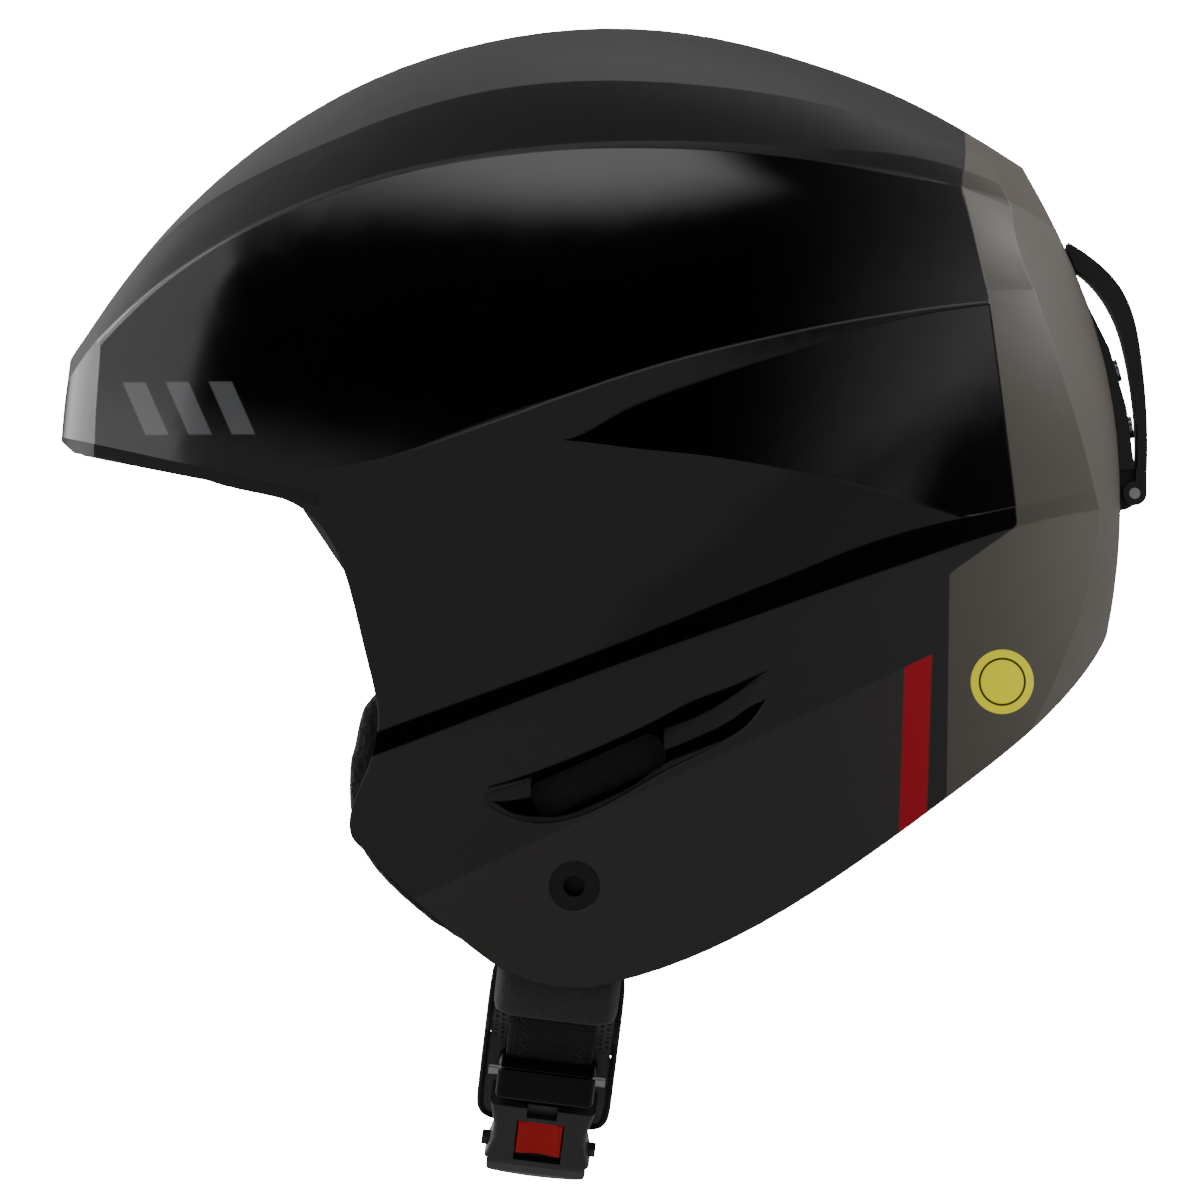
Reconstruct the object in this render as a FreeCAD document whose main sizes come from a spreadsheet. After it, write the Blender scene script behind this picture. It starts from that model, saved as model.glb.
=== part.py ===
import FreeCAD, Part
import math
import os

from FreeCAD import Placement, Rotation, Vector
from Sketcher import Constraint

# Race ski helmet. Millimetres. X runs from the brow (minus) to the back, Y to the wearer's right, Z up.
# The origin is the middle of the head, level with the ear openings.

os.makedirs("parts", exist_ok=True)
doc = FreeCAD.newDocument("SkiHelmet")

# ---------------------------------------------------------------- driving sizes
DRIVING = {
    "wall": 3.2, "half_wide": 111, "ledge_half": 106.5, "waist_half": 105.5, "paint_half": 82,
    "shoulder_half": 79.6, "ridge_half": 66, "foot_half": 88,
    "cavity_long": 113, "cavity_wide": 89, "cavity_tall": 137,
    "slip_gap": 2, "slip_thick": 1.2, "pad_thick": 7,
    "foam_face": 80.8, "channel_face": 93, "ear_pad_thick": 11,
    "insert_out": 101.4, "insert_flange": 13.2, "insert_body": 9.4, "insert_hole": 5.6, "insert_long": 7,
    "strap_lean": 7, "strap_wide": 22.8, "strap_thick": 1.8, "loop_bend": 58, "loop_start": 85.5,
    "pin_dia": 5, "pin_long": 8.4, "eye_hole": 5.1, "eye_long": 24, "eye_wide": 15, "eye_thick": 0.9,
    "house_wide": 28, "house_long": 22.6, "house_deep": 9, "house_waist": 1.6,
    "tongue_wide": 17.4, "tongue_long": 14, "tongue_thick": 2, "tongue_gap": 0.4,
    "button_wide": 12, "button_long": 13.3, "button_deep": 3.2, "button_travel": 1.8, "button_gap": 0.3,
    "collar_wide": 26, "collar_long": 10.6, "collar_deep": 10.4, "bar_dia": 3, "bar_long": 31,
    "clip_wide": 26, "clip_pin": 3, "clip_bore": 3.1, "screw_dia": 6, "screw_long": 7,
}
sheet = doc.addObject("Spreadsheet::Sheet", "Sizes")
for row, (alias, value) in enumerate(DRIVING.items(), 1):
    sheet.set(f"A{row}", alias)
    sheet.set(f"B{row}", str(value))
    sheet.setAlias(f"B{row}", alias)
doc.recompute()


def size(alias):
    return float(sheet.get(alias))


NODES = []


# ---------------------------------------------------------------- helpers for sketched bodies
def new_body(label):
    body = doc.addObject("PartDesign::Body", label)
    body.Label = label
    NODES.append(body)
    return body


def new_sketch(body, role, name, offset=0):
    plane = [p for p in body.Origin.OriginFeatures if p.Role == role][0]
    sketch = body.newObject("Sketcher::SketchObject", name)
    sketch.AttachmentSupport = (plane, [""])
    sketch.MapMode = "FlatFace"
    sketch.AttachmentOffset = Placement(Vector(0, 0, offset), Rotation())
    return sketch


def drive(sketch, constraint, expression):
    index = sketch.addConstraint(constraint)
    sketch.setExpression(f"Constraints[{index}]", expression)


def rectangle(sketch, wide, tall, x=0, y=0):
    """Rectangle about x, y; its width and height are expressions on the sheet."""
    corners = [Vector(x - 1, y - 1), Vector(x + 1, y - 1), Vector(x + 1, y + 1), Vector(x - 1, y + 1)]
    first = sketch.GeometryCount
    for i in range(4):
        sketch.addGeometry(Part.LineSegment(corners[i], corners[(i + 1) % 4]), False)
    for i in range(4):
        sketch.addConstraint(Constraint("Coincident", first + i, 2, first + (i + 1) % 4, 1))
    for i, way in enumerate(("Horizontal", "Vertical", "Horizontal", "Vertical")):
        sketch.addConstraint(Constraint(way, first + i))
    drive(sketch, Constraint("DistanceX", first, 1, first, 2, 2), wide)
    drive(sketch, Constraint("DistanceY", first + 1, 1, first + 1, 2, 2), tall)
    drive(sketch, Constraint("DistanceX", -1, 1, first, 2, x + 1), f"{x} + ({wide}) / 2")
    drive(sketch, Constraint("DistanceY", -1, 1, first + 1, 2, y + 1), f"{y} + ({tall}) / 2")


def circle(sketch, across, x=0, y=0):
    index = sketch.addGeometry(Part.Circle(Vector(x, y), Vector(0, 0, 1), 1), False)
    drive(sketch, Constraint("Diameter", index, 2), across)
    if x or y:
        sketch.addConstraint(Constraint("DistanceX", -1, 1, index, 3, x))
        sketch.addConstraint(Constraint("DistanceY", -1, 1, index, 3, y))
    else:
        sketch.addConstraint(Constraint("Coincident", index, 3, -1, 1))


def outline(sketch, points, curved=False):
    """Closed outline: straight sides, or one closed curve through the points."""
    pts = [Vector(*p) for p in points]
    if curved:
        curve = Part.BSplineCurve()
        curve.interpolate(Points=pts, PeriodicFlag=True)
        sketch.addGeometry(curve, False)
        return
    for i, p in enumerate(pts):
        sketch.addGeometry(Part.LineSegment(p, pts[(i + 1) % len(pts)]), False)


def pad(body, sketch, length, both=False, back=False):
    feature = body.newObject("PartDesign::Pad", "Pad")
    feature.Profile = sketch
    feature.setExpression("Length", length)
    feature.Midplane = both
    feature.Reversed = back
    return feature


def pocket(body, sketch, length, both=False, back=False):
    feature = body.newObject("PartDesign::Pocket", "Pocket")
    feature.Profile = sketch
    feature.setExpression("Length", length)
    feature.Midplane = both
    feature.Reversed = back
    return feature


def soften(body, radius, pick):
    """Round the edges of the body that pick() accepts."""
    doc.recompute()
    names = [f"Edge{i}" for i, e in enumerate(body.Tip.Shape.Edges, 1) if pick(e)]
    feature = body.newObject("PartDesign::Fillet", "Fillet")
    feature.Base = (body.Group[-2], names)
    feature.Radius = radius
    doc.recompute()
    return feature


def solid_node(label, shape, place=None):
    """Node whose shape is worked out by Part functions."""
    feature = doc.addObject("Part::Feature", label)
    feature.Label = label
    feature.Shape = shape
    if place:
        feature.Placement = place
    NODES.append(feature)
    return feature


# ---------------------------------------------------------------- shell surface
MIDDLE = 18


def smooth(points, x):
    """Smooth curve through the points, read at x."""
    last = len(points) - 1
    i = 0
    while i < last - 1 and x > points[i + 1][0]:
        i += 1
    (xa, za), (xb, zb) = points[i], points[i + 1]
    chord = (zb - za) / (xb - xa)
    before = points[max(i - 1, 0)]
    after = points[min(i + 2, last)]
    slope_a = (zb - before[1]) / (xb - before[0]) if i else chord
    slope_b = (after[1] - za) / (after[0] - xa) if i < last - 1 else chord
    w = xb - xa
    r = (x - xa) / w
    curve = za * (1 + 2 * r) * (1 - r) ** 2 + zb * r * r * (3 - 2 * r)
    return curve + w * (slope_a * r * (1 - r) ** 2 - slope_b * r * r * (1 - r))


TOP_LINE = [(-150, 64), (-140, 77.5), (-126.4, 94.5), (-107.2, 117.7), (-76.1, 142), (-45.1, 156.6),
            (-14.3, 163.9), (2.7, 165.5), (33.2, 162.3), (69.4, 152.4), (100.4, 137.7), (117.5, 126.1), (150, 107)]
# Each long crease: half width, taper length to the front and back, inset shares, height along X.
CREASES = [
    ("ridge_half", 215, 140, 0.5, 0.87,
     [(-150, 61), (-126, 92.5), (-107, 112.6), (-76, 129.6), (-35, 144.2), (6.5, 148.5), (59, 143.1),
      (100, 130.7), (116, 123.4), (150, 103)]),
    ("shoulder_half", 206, 139, 0.7, 0.7,
     [(-150, 57.5), (-123, 87), (-97, 106.4), (-56, 123.2), (-4, 131.5), (50, 130.8), (99, 125), (150, 99)]),
    ("paint_half", 206, 140, 0.85, 0.5,
     [(-150, 56), (-123, 85.9), (-97, 105.3), (-56, 122), (-4, 129.9), (50, 128), (99, 119.9), (150, 95)]),
    ("waist_half", 184, 134, 1, 0.2,
     [(-150, 15), (-59, 45.6), (-14, 62.6), (28, 75.3), (64, 84.8), (95, 91), (120, 92.9), (150, 88)]),
    ("half_wide", 180, 133, 1, 0,
     [(-150, -60), (-54, -23.2), (-1, -3.8), (50, 16.5), (78, 27.3), (112, 35.4), (150, 43)]),
    ("ledge_half", 192, 133, 1, 0,
     [(-150, -64), (-51, -27.8), (-1, -8.9), (40, 5.7), (78, 18.9), (113, 30.2), (150, 38)]),
]
BULGES = [0.6, 0.1, 2.6, 0, 0, 4.0]
# The wing between the waist and the widest line swells towards the back.
WING = [(-150, 0.2), (-52, 0.2), (-20, 0.8), (15, 2.2), (50, 3.4), (106, 4), (150, 4)]
STATIONS = [-150, -128, -105, -80, -52, -20, 15, 50, 82, 106, 128, 150]


def reach(x, width, front, rear):
    length = front if x < MIDDLE else rear
    return width * math.sqrt(1 - ((x - MIDDLE) / length) ** 2)


def through(points):
    curve = Part.BSplineCurve()
    curve.interpolate(points)
    return curve.toShape()


def bowed(a, b, bulge):
    if not bulge:
        return Part.LineSegment(a, b).toShape()
    along = (b - a).normalize()
    return through([a, (a + b) * 0.5 + Vector(0, along.z, -along.y) * bulge, b])


def section(x, inset):
    """Closed cross-section of the helmet form at X, moved in by the inset."""
    right = []
    for alias, front, rear, out, down, heights in CREASES:
        y = reach(x, size(alias) - inset * out, front, rear)
        right.append(Vector(x, y, smooth(heights, x) - inset * down))
    right.append(Vector(x, reach(x, size("foot_half") - inset, 175, 133), -130))
    left = [Vector(p.x, -p.y, p.z) for p in right]
    edges = [through([left[0], Vector(x, 0, smooth(TOP_LINE, x) - inset), right[0]])]
    bulges = BULGES[:3] + [smooth(WING, x)] + BULGES[4:]
    for i, bulge in enumerate(bulges):
        edges.append(bowed(right[i], right[i + 1], -bulge))
    edges.append(Part.LineSegment(right[-1], left[-1]).toShape())
    for i in reversed(range(len(bulges))):
        edges.append(bowed(left[i + 1], left[i], -bulges[i]))
    return Part.Wire(edges)


FRONT_LINE = [(-140, -141), (54, -142.6), (78, -139.9), (180, -128)]
BACK_LINE = [(-140, 88), (-45, 124), (2, 139.6), (30, 143), (55, 142.3), (85, 136.2), (112, 125.2),
             (126, 117.5), (180, 84)]


def ends(inset):
    """Solid whose curved front and back faces trim the form."""
    wires = []
    for z in (-140, -45, 2, 30, 55, 78, 100, 126, 180):
        xf = smooth(FRONT_LINE, z) + inset
        xb = smooth(BACK_LINE, z) - inset
        nose = Part.Arc(Vector(xf + 86, -150, z), Vector(xf, 0, z), Vector(xf + 86, 150, z)).toShape()
        tail = Part.Arc(Vector(xb - 95, 150, z), Vector(xb, 0, z), Vector(xb - 95, -150, z)).toShape()
        a = Part.LineSegment(Vector(xf + 86, 150, z), Vector(xb - 95, 150, z)).toShape()
        b = Part.LineSegment(Vector(xb - 95, -150, z), Vector(xf + 86, -150, z)).toShape()
        wires.append(Part.Wire([nose, a, tail, b]))
    return Part.makeLoft(wires, True, False)


def form(inset):
    return Part.makeLoft([section(x, inset) for x in STATIONS], True, False).common(ends(inset))


def side_prism(pieces, y0, y1):
    """Prism along Y from a side outline made of straight and curved runs of points (x, z)."""
    edges = []
    for kind, points in pieces:
        pts = [Vector(x, y0, z) for x, z in points]
        if kind == "curve":
            edges.append(through(pts))
        else:
            edges += [Part.LineSegment(pts[i], pts[i + 1]).toShape() for i in range(len(pts) - 1)]
    return Part.Face(Part.Wire(edges)).extrude(Vector(0, y1 - y0, 0))


# Face opening, cheek and lower edge of the shell in side view, closed far outside the form.
BROW_EDGE = [(-105.3, 43.7), (-137.7, 50), (-142.9, 54), (-170, 60), (-170, 200), (190, 200), (190, 20), (139.6, 1.9)]
HEM = [(139.6, 1.9), (138, -0.7), (121.5, -19.7), (94.7, -41), (64.7, -62.2), (23.4, -84.4), (0, -91)]
JAW = [(0, -91), (-12, -90.3), (-24, -85.6), (-32.1, -79.7), (-46.4, -67.8), (-60.2, -54.2)]
CHEEK = [(-60.2, -54.2), (-62.9, -50.5), (-62.6, -44), (-57.8, -32.1), (-55.6, -20), (-58.2, -6.2), (-63.7, 15.7),
         (-68.9, 27.8), (-76.1, 35.1), (-86, 39), (-105.3, 43.7)]


def shifted(points, dx, dz):
    return [(x + dx, z + dz) for x, z in points]


shell_side = side_prism([("line", BROW_EDGE), ("curve", HEM), ("curve", JAW), ("curve", CHEEK)], -160, 160)
inside = form(size("wall"))
whole = form(0)
shell = whole.cut(inside).common(shell_side)

# Side air intake: a lens-shaped hollow with a ramp at each end and a long slot in its floor.
LENS_LOW = [(-27.3, -42.5), (-21.3, -45.9), (-14, -47.8), (-7.6, -47.4), (20, -34), (41, -22.5), (48, -14)]
LENS_HIGH = [(48.3, -8), (30, -16.2), (15.4, -22.9), (-6, -32.4), (-27.3, -40)]
SLOT_MID = (2.3, -35.2)
SLOT_TURN = 24
SCOOP_IN = [(-30, -125), (-30, -103.5), (-15, -96), (19, -96), (49, -104.5), (52, -125)]


def scoop(side, grow):
    lens = side_prism([("curve", LENS_LOW), ("line", [LENS_LOW[-1], LENS_HIGH[0]]), ("curve", LENS_HIGH),
                       ("line", [LENS_HIGH[-1], LENS_LOW[0]])], -125, -80)
    if grow:
        lens = lens.makeOffsetShape(grow, 0.01)
    ramp = [Vector(x, y + grow, -60) for x, y in SCOOP_IN]
    prism = Part.Face(Part.makePolygon(ramp + ramp[:1])).extrude(Vector(0, 0, 70))
    hollow = lens.common(prism)
    return hollow if side < 0 else hollow.mirror(Vector(0, 0, 0), Vector(0, 1, 0))


def slot(side, long, tall, y0, y1):
    """Round-cornered slot lying along the intake."""
    box = Part.makeBox(long, y1 - y0, tall, Vector(-long / 2, y0, -tall / 2))
    box = box.makeFillet(tall * 0.38, [e for e in box.Edges if abs(e.tangentAt(e.FirstParameter).y) > 0.9])
    box.rotate(Vector(0, 0, 0), Vector(0, 1, 0), -SLOT_TURN)
    box.translate(Vector(SLOT_MID[0], 0, SLOT_MID[1]))
    return box if side < 0 else box.mirror(Vector(0, 0, 0), Vector(0, 1, 0))


INSERT_AT = (-4.1, -64.3)


def insert_frame(side):
    """Seat of the chin-guard insert: z points straight out of the cheek's surface."""
    out = Vector(-0.0642, side, -0.153)
    return Placement(Vector(INSERT_AT[0], side * size("insert_out"), INSERT_AT[1]), Rotation(Vector(0, 0, 1), out))


def insert_bar(side, across, low, high):
    bar = Part.makeCylinder(across / 2, high - low, Vector(0, 0, low))
    bar.Placement = insert_frame(side)
    return bar


def round_bar(side, x, z, across, y0, y1):
    """Cylinder along Y between two distances from the middle plane."""
    return Part.makeCylinder(across / 2, y1 - y0, Vector(x, side * y0, z), Vector(0, side, 0))


hollows = {}
for side in (-1, 1):
    grown = scoop(side, 2.4)
    hollow = scoop(side, 0)
    pan = grown.common(inside)
    shell = shell.fuse(pan)
    shell = shell.cut(hollow)
    shell = shell.cut(slot(side, 37, 9.6, -125, -80))
    boss = insert_bar(side, 16, -4.2, -1)
    shell = shell.fuse(boss)
    shell = shell.cut(insert_bar(side, size("insert_flange"), -1.2, 6))
    shell = shell.cut(insert_bar(side, size("insert_body"), -12, 0))
    hollows[side] = (pan, boss, hollow)
# Goggle clip on the back: plate, hooked arm and the two screws that hold the plate.
PIVOT = Vector(146.6, 0, 39.5)
CLIP_BASE = [(127.6, 94), (132.3, 93.4), (139.8, 78.5), (144.4, 62.5), (146.6, 46), (136, 45.6), (128, 60)]
ARM_OUT = [(128.8, 107), (136.6, 101.6), (142, 96), (146, 88), (148.4, 76), (149.6, 64), (150, 52), (149.8, 44.4)]
ARM_IN = [(147, 44.4), (147.4, 52), (146.6, 64), (144.6, 76), (141.6, 86), (138, 92.4), (134, 97), (127.8, 101)]
SCREWS = [Placement(Vector(x, 0, z), Rotation(Vector(0, 1, 0), 90 - lean))
          for x, z, lean in ((141.55, 72.5, 15.7), (145.1, 57.3, 7.6))]


def pivot_bar(across):
    return Part.makeCylinder(across / 2, 60, PIVOT - Vector(0, 30, 0), Vector(0, 1, 0))


def screw_shape(place):
    shape = Part.makeCylinder(1.5, size("screw_long"), Vector(0, 0, 0), Vector(0, 0, -1))
    shape = shape.fuse(Part.makeCylinder(size("screw_dia") / 2, 8))
    shape.Placement = place
    return shape


wide = size("clip_wide")
for place in SCREWS:
    shell = shell.cut(screw_shape(place))
shell = shell.removeSplitter()
solid_node("outer_shell", shell)

# ---------------------------------------------------------------- impact foam
inner_side = side_prism([("line", shifted(BROW_EDGE, 3, 4)), ("curve", shifted(HEM, 3, 4)),
                         ("curve", shifted(JAW, 3, 4)), ("curve", shifted(CHEEK, 3, 4))], -160, 160)


def egg(less):
    """Head-shaped hollow: an ellipsoid above the ears and an elliptic tube below them."""
    a, b, c = size("cavity_long") - less, size("cavity_wide") - less, size("cavity_tall") - less
    ball = Part.makeSphere(1)
    grow = FreeCAD.Matrix()
    grow.scale(a, b, c)
    dome = ball.transformGeometry(grow).common(Part.makeBox(400, 400, 200, Vector(-200, -200, 0)))
    ring = Part.Ellipse(Vector(0, 0, 0), a, b).toShape()
    tube = Part.Face(Part.Wire([ring])).extrude(Vector(0, 0, -140))
    return dome, tube


dome, tube = egg(0)
cheek_zone = Part.makeBox(146, 320, 130, Vector(-74, -160, -136))
foam = inside.common(inner_side).cut(dome).cut(tube).cut(cheek_zone)
for side in (-1, 1):
    foam = foam.cut(hollows[side][0])
for place in SCREWS:
    foam = foam.cut(screw_shape(place))
foam = max(foam.Solids, key=lambda piece: piece.Volume)
solid_node("eps_liner", foam)

STRAP_TOP = (-4.312, -57.597)
for side, hand in ((-1, "left"), (1, "right")):
    face = size("foam_face")
    block = Part.makeBox(146, 40, 130, Vector(-74, -face - 40 if side < 0 else face, -136))
    cheek = inside.common(inner_side).common(block)
    pan, boss, hollow = hollows[side]
    cheek = cheek.cut(pan).cut(boss).cut(slot(side, 39.4, 12, -125, -80))
    deep = size("channel_face") - face
    channel = Part.makeBox(78, deep, 52, Vector(-46, -size("channel_face") if side < 0 else face, -98))
    cheek = cheek.cut(channel)
    cheek = cheek.cut(insert_bar(side, size("insert_body"), -12, 0))
    cheek = cheek.cut(round_bar(side, *STRAP_TOP, 14.4, 92, 94.2))
    cheek = max(cheek.Solids, key=lambda piece: piece.Volume)
    solid_node(f"cheek_foam_{hand}", cheek)

    duct = slot(side, 39, 11.6, -97.0, -81.5).cut(slot(side, 36.6, 9.2, -125, -83.2))
    duct = duct.cut(pan)
    solid_node(f"vent_duct_{hand}", duct.removeSplitter())

# ---------------------------------------------------------------- soft ear pads
EAR = [(-52, -10), (-60, -16), (-64, -28), (-65, -44), (-60.5, -58), (-50, -69.5), (-34, -80.5), (-16, -87),
       (6, -86), (30, -76), (50, -60), (62, -40), (62, -20), (52, -10), (38, -2), (18, 4), (-18, 4), (-38, -2)]
for side, hand in ((-1, "left"), (1, "right")):
    body = new_body(f"ear_pad_{hand}")
    sketch = new_sketch(body, "XZ_Plane", "PadOutline")
    outline(sketch, EAR, True)
    pad(body, sketch, "Sizes.ear_pad_thick", back=True)
    opening = new_sketch(body, "XZ_Plane", "EarOpening")
    outline(opening, [(-26, -20), (10, -14), (28, -30), (12, -50), (-20, -52), (-34, -36)], True)
    pocket(body, opening, "Sizes.ear_pad_thick + 1")
    doc.recompute()
    shift = -size("foam_face") if side < 0 else size("foam_face") - size("ear_pad_thick")
    body.Placement = Placement(Vector(0, shift, 0), Rotation())

# ---------------------------------------------------------------- chin-guard inserts and strap rivets
for side, hand in ((-1, "left"), (1, "right")):
    body = new_body(f"guard_insert_{hand}")
    flange = new_sketch(body, "XY_Plane", "Flange")
    circle(flange, "Sizes.insert_flange")
    pad(body, flange, "1.2", back=True)
    stem = new_sketch(body, "XY_Plane", "Stem")
    circle(stem, "Sizes.insert_body")
    pad(body, stem, "Sizes.insert_long", back=True)
    hole = new_sketch(body, "XY_Plane", "Hole")
    circle(hole, "Sizes.insert_hole")
    pocket(body, hole, "Sizes.insert_long - 1.5")
    body.Placement = insert_frame(side)

    rivet = new_body(f"strap_rivet_{hand}")
    plate = new_sketch(rivet, "XY_Plane", "Plate")
    circle(plate, "14")
    pad(rivet, plate, "1", back=True)
    pin = new_sketch(rivet, "XY_Plane", "Pin")
    circle(pin, "Sizes.pin_dia")
    pad(rivet, pin, "Sizes.pin_long")
    head = new_sketch(rivet, "XY_Plane", "Head", size("pin_long") - 1.3)
    circle(head, "9.5")
    pad(rivet, head, "1.3")
    rivet.Placement = Placement(Vector(STRAP_TOP[0], side * 93.0, STRAP_TOP[1]),
                                Rotation(Vector(1, 0, 0), 90 * side))

# ---------------------------------------------------------------- low-friction layer and comfort pads
band_side = side_prism([("line", [(-88, 52), (-150, 58), (-150, 180), (150, 180), (150, 18), (100, 12)]),
                        ("line", [(100, 12), (-62, 14), (-88, 52)])], -160, 160)


def layer(outer_less, inner_less):
    return egg(outer_less)[0].cut(egg(inner_less)[0])


skin_out = size("slip_gap")
skin_in = skin_out + size("slip_thick")
pad_in = skin_in + size("pad_thick")
slip = layer(skin_out, skin_in).common(band_side)
for x, y in ((-40, 0), (40, 0), (0, 34), (0, -34), (62, 30), (62, -30), (-62, 30), (-62, -30)):
    slip = slip.cut(Part.makeCylinder(8, 200, Vector(x, y, 20)))
solid_node("slip_liner", slip)

padding = layer(skin_in, pad_in).common(side_prism(
    [("line", [(-86, 56), (-150, 61), (-150, 180), (150, 180), (150, 24), (100, 18), (-58, 20), (-86, 56)])],
    -160, 160))


def rounded_column(points):
    edge = Part.BSplineCurve()
    edge.interpolate(Points=[Vector(x, y, 0) for x, y in points], PeriodicFlag=True)
    return Part.Face(Part.Wire([edge.toShape()])).extrude(Vector(0, 0, 200))


crown = rounded_column([(-52, 0), (-40, 16), (0, 20), (40, 16), (52, 0), (40, -16), (0, -20), (-40, -16)])
solid_node("crown_pad", padding.common(crown))
brow_zone = Part.makeBox(60, 130, 30, Vector(-125, -65, 50))
solid_node("brow_pad", padding.common(brow_zone))
rear_zone = Part.makeBox(60, 110, 50, Vector(62, -55, 22))
solid_node("rear_pad", padding.common(rear_zone))
for side, hand in ((-1, "left"), (1, "right")):
    zone = Part.makeBox(88, 60, 70, Vector(-46, 40 if side > 0 else -100, 22))
    solid_node(f"side_pad_{hand}", padding.common(zone))
for name, x, y in (("front", -88, 0), ("back", 88, 0), ("left", 0, -70), ("right", 0, 70)):
    cyl = Part.makeCylinder(5, 140, Vector(x, y, 30))
    solid_node(f"elastomer_{name}", layer(0, skin_out).common(cyl))

# ---------------------------------------------------------------- chin strap, on its own leaning frame
strap_frame = Placement(Vector(2.76, 0, 0), Rotation(Vector(0, 1, 0), size("strap_lean")))
bend = size("loop_bend")
drop = size("loop_start")
strap_y = 88
bend_y = strap_y - bend


def on_loop(angle, out=0):
    """Point on the hanging loop; the angle runs from the upright part round to the chin."""
    a = math.radians(angle)
    return Vector(0, -bend_y - (bend + out) * math.cos(a), -drop - (bend + out) * math.sin(a))


def ribbon(start, stop, inner, outer, top=None, wide=None):
    """Strip lying on the loop from one angle to another, with an optional upright run to height top."""
    mid = (start + stop) / 2
    wide = wide or size("strap_wide")
    edge = Vector(-wide / 2, 0, 0)
    a, b, c = (on_loop(v, outer) + edge for v in (start, mid, stop))
    d, e, f = (on_loop(v, inner) + edge for v in (stop, mid, start))
    edges = [Part.Arc(a, b, c).toShape(), Part.LineSegment(c, d).toShape(), Part.Arc(d, e, f).toShape()]
    if top is None:
        edges.append(Part.LineSegment(f, a).toShape())
    else:
        g, k = Vector(f.x, f.y, top), Vector(a.x, a.y, top)
        edges += [Part.LineSegment(p, q).toShape() for p, q in ((f, g), (g, k), (k, a))]
    return Part.Face(Part.Wire(edges)).extrude(Vector(wide, 0, 0))


def mirrored(shape):
    return shape.mirror(Vector(0, 0, 0), Vector(0, 1, 0))


half = size("strap_thick") / 2
eye_z = -58.03
strap_left = ribbon(0, 27, -half, half, top=eye_z - 12)
solid_node("webbing_left", strap_left, strap_frame)
right_upper = mirrored(ribbon(0, 6, -half, half, top=eye_z - 12))
solid_node("webbing_right", right_upper, strap_frame)

# The pad is thick behind the webbing and thin behind the buckle.
padded = ribbon(0, 20, -half - 5.6, -half, top=-77, wide=34).fuse(ribbon(20, 57, -7.5, -5, wide=34))
corners = [e for e in padded.Edges if e.Length < 6 and abs(e.tangentAt(e.FirstParameter).x) < 0.1
           and not -125 < e.CenterOfMass.z < -78]
padded = padded.makeFillet(6, corners)
solid_node("strap_pad_left", padded, strap_frame)
cover = ribbon(0, 15, half + 0.5, half + 1.9, top=-77, wide=32)
sides = ribbon(0, 15, -half, half + 0.5, top=-77, wide=32)
sides = sides.cut(ribbon(0, 15, -half, half + 0.5, top=-77, wide=size("strap_wide") + 1))
solid_node("pad_cover_left", cover.fuse(sides).removeSplitter(), strap_frame)

for side, hand in ((-1, "left"), (1, "right")):
    body = new_body(f"strap_eye_{hand}")
    plate = new_sketch(body, "XZ_Plane", "Plate")
    rectangle(plate, "Sizes.eye_wide", "Sizes.eye_long", 0, -2.2)
    circle(plate, "Sizes.eye_hole", 0, 4.2)
    pad(body, plate, "Sizes.eye_thick", both=True)
    spot = Vector(0, side * (strap_y - 1.45), eye_z - 4.2)
    body.Placement = strap_frame.multiply(Placement(spot, Rotation()))

# Buckle frame: x across the strap, y towards the webbing side, z out of the button face.
buckle_angle = 48.6
tilt = 180 - (90 - buckle_angle)
buckle_frame = strap_frame.multiply(Placement(on_loop(buckle_angle), Rotation(Vector(1, 0, 0), tilt)))

housing = new_body("buckle_housing")
w, l = size("house_wide") / 2, size("house_long") / 2
waist = size("house_waist")
plan = new_sketch(housing, "XY_Plane", "Outline")
outline(plan, [(-w, l), (w, l), (w - waist, 2), (w - waist, -3), (w, -l), (-w, -l), (-w + waist, -3), (-w + waist, 2)])
pad(housing, plan, "Sizes.house_deep", both=True)
soften(housing, 1.6, lambda e: abs(e.CenterOfMass.z) > 4 and abs(abs(e.CenterOfMass.x) - w) < 3)
tabs = new_sketch(housing, "XY_Plane", "SideTabs")
rectangle(tabs, "Sizes.house_wide + 2.4", "3", 0, -8)
pad(housing, tabs, "2.6", both=True)
throat = new_sketch(housing, "XZ_Plane", "Throat", l + 0.01)
rectangle(throat, "Sizes.tongue_wide + 2 * Sizes.tongue_gap", "Sizes.tongue_thick + 2 * Sizes.tongue_gap", 0, -2)
pocket(housing, throat, "Sizes.tongue_long + 1.5")
well = new_sketch(housing, "XY_Plane", "ButtonWell", 10)
rectangle(well, "Sizes.button_wide + 2 * Sizes.button_gap", "Sizes.button_long + 2 * Sizes.button_gap", 0, -1.1)
pocket(housing, well, "10.7")
thumb = new_sketch(housing, "XY_Plane", "ThumbNotch", 10)
rectangle(thumb, "Sizes.button_wide + 2 * Sizes.button_gap", "5", 0, -10)
pocket(housing, thumb, "8")
finger = new_sketch(housing, "XY_Plane", "FrontSlot", 10)
rectangle(finger, "8", "4.8", 0, 9.9)
pocket(housing, finger, "7")
housing.Placement = buckle_frame

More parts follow.
